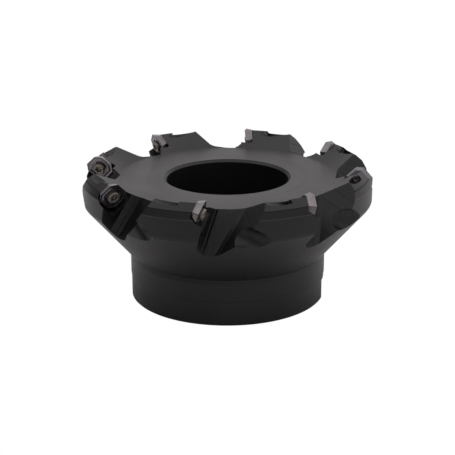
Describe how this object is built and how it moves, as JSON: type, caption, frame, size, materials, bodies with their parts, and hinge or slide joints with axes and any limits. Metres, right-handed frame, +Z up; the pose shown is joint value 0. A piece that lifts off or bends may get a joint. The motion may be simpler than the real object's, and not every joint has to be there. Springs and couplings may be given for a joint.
{
  "type": "face mill",
  "caption": "Shell-type 45 degree face mill: dark steel cutter body with a dished front, arbor bore and drive slots, octagonal inserts held by star-drive screws.",
  "frame": {"origin": "centre of the hub's flat mounting face", "axes": "+Z up the cutter's axis from the mounting face to the cutting edges; +X along the drive slots to within 4.2 degrees"},
  "size_m": [0.1318, 0.1318, 0.0628],
  "materials": {
    "black_oxide": "satin black oxide, finely turned and milled",
    "coated_carbide": "satin dark coating",
    "screw_steel": "satin"
  },
  "bodies": {
    "cutter": {"cutter_body": "black_oxide"},
    "tip_1": {"insert_1": "coated_carbide"},
    "tip_2": {"insert_2": "coated_carbide"},
    "tip_3": {"insert_3": "coated_carbide"},
    "tip_4": {"insert_4": "coated_carbide"},
    "tip_5": {"insert_5": "coated_carbide"},
    "tip_6": {"insert_6": "coated_carbide"},
    "tip_7": {"insert_7": "coated_carbide"},
    "tip_8": {"insert_8": "coated_carbide"},
    "screw_1": {"insert_screw_1": "screw_steel"},
    "screw_2": {"insert_screw_2": "screw_steel"},
    "screw_3": {"insert_screw_3": "screw_steel"},
    "screw_4": {"insert_screw_4": "screw_steel"},
    "screw_5": {"insert_screw_5": "screw_steel"},
    "screw_6": {"insert_screw_6": "screw_steel"},
    "screw_7": {"insert_screw_7": "screw_steel"},
    "screw_8": {"insert_screw_8": "screw_steel"}
  },
  "joints": [
    {"name": "insert_1_lift", "type": "slide", "parent": "cutter", "child": "tip_1", "axis": [-0.9135, 0.2373, -0.3305], "range_m": [0, 0.0063]},
    {"name": "screw_1_turn", "type": "hinge", "parent": "tip_1", "child": "screw_1", "pos_m": [0.01114, 0.05977, 0.057], "axis": [-0.9135, 0.2373, -0.3305], "range_deg": [0, 3240]},
    {"name": "insert_2_lift", "type": "slide", "parent": "cutter", "child": "tip_2", "axis": [-0.8137, -0.4782, -0.3305], "range_m": [0, 0.0063]},
    {"name": "screw_2_turn", "type": "hinge", "parent": "tip_2", "child": "screw_2", "pos_m": [-0.03438, 0.05014, 0.057], "axis": [-0.8137, -0.4782, -0.3305], "range_deg": [0, 3240]},
    {"name": "insert_3_lift", "type": "slide", "parent": "cutter", "child": "tip_3", "axis": [-0.2373, -0.9135, -0.3305], "range_m": [0, 0.0063]},
    {"name": "screw_3_turn", "type": "hinge", "parent": "tip_3", "child": "screw_3", "pos_m": [-0.05977, 0.01114, 0.057], "axis": [-0.2373, -0.9135, -0.3305], "range_deg": [0, 3240]},
    {"name": "insert_4_lift", "type": "slide", "parent": "cutter", "child": "tip_4", "axis": [0.4782, -0.8137, -0.3305], "range_m": [0, 0.0063]},
    {"name": "screw_4_turn", "type": "hinge", "parent": "tip_4", "child": "screw_4", "pos_m": [-0.05014, -0.03438, 0.057], "axis": [0.4782, -0.8137, -0.3305], "range_deg": [0, 3240]},
    {"name": "insert_5_lift", "type": "slide", "parent": "cutter", "child": "tip_5", "axis": [0.9135, -0.2373, -0.3305], "range_m": [0, 0.0063]},
    {"name": "screw_5_turn", "type": "hinge", "parent": "tip_5", "child": "screw_5", "pos_m": [-0.01114, -0.05977, 0.057], "axis": [0.9135, -0.2373, -0.3305], "range_deg": [0, 3240]},
    {"name": "insert_6_lift", "type": "slide", "parent": "cutter", "child": "tip_6", "axis": [0.8137, 0.4782, -0.3305], "range_m": [0, 0.0063]},
    {"name": "screw_6_turn", "type": "hinge", "parent": "tip_6", "child": "screw_6", "pos_m": [0.03438, -0.05014, 0.057], "axis": [0.8137, 0.4782, -0.3305], "range_deg": [0, 3240]},
    {"name": "insert_7_lift", "type": "slide", "parent": "cutter", "child": "tip_7", "axis": [0.2373, 0.9135, -0.3305], "range_m": [0, 0.0063]},
    {"name": "screw_7_turn", "type": "hinge", "parent": "tip_7", "child": "screw_7", "pos_m": [0.05977, -0.01114, 0.057], "axis": [0.2373, 0.9135, -0.3305], "range_deg": [0, 3240]},
    {"name": "insert_8_lift", "type": "slide", "parent": "cutter", "child": "tip_8", "axis": [-0.4782, 0.8137, -0.3305], "range_m": [0, 0.0063]},
    {"name": "screw_8_turn", "type": "hinge", "parent": "tip_8", "child": "screw_8", "pos_m": [0.05014, 0.03438, 0.057], "axis": [-0.4782, 0.8137, -0.3305], "range_deg": [0, 3240]}
  ],
  "couplings": [
    {"joint": "screw_1_turn", "follows": "insert_1_lift", "rad_per_m": 8976},
    {"joint": "screw_2_turn", "follows": "insert_2_lift", "rad_per_m": 8976},
    {"joint": "screw_3_turn", "follows": "insert_3_lift", "rad_per_m": 8976},
    {"joint": "screw_4_turn", "follows": "insert_4_lift", "rad_per_m": 8976},
    {"joint": "screw_5_turn", "follows": "insert_5_lift", "rad_per_m": 8976},
    {"joint": "screw_6_turn", "follows": "insert_6_lift", "rad_per_m": 8976},
    {"joint": "screw_7_turn", "follows": "insert_7_lift", "rad_per_m": 8976},
    {"joint": "screw_8_turn", "follows": "insert_8_lift", "rad_per_m": 8976}
  ]
}
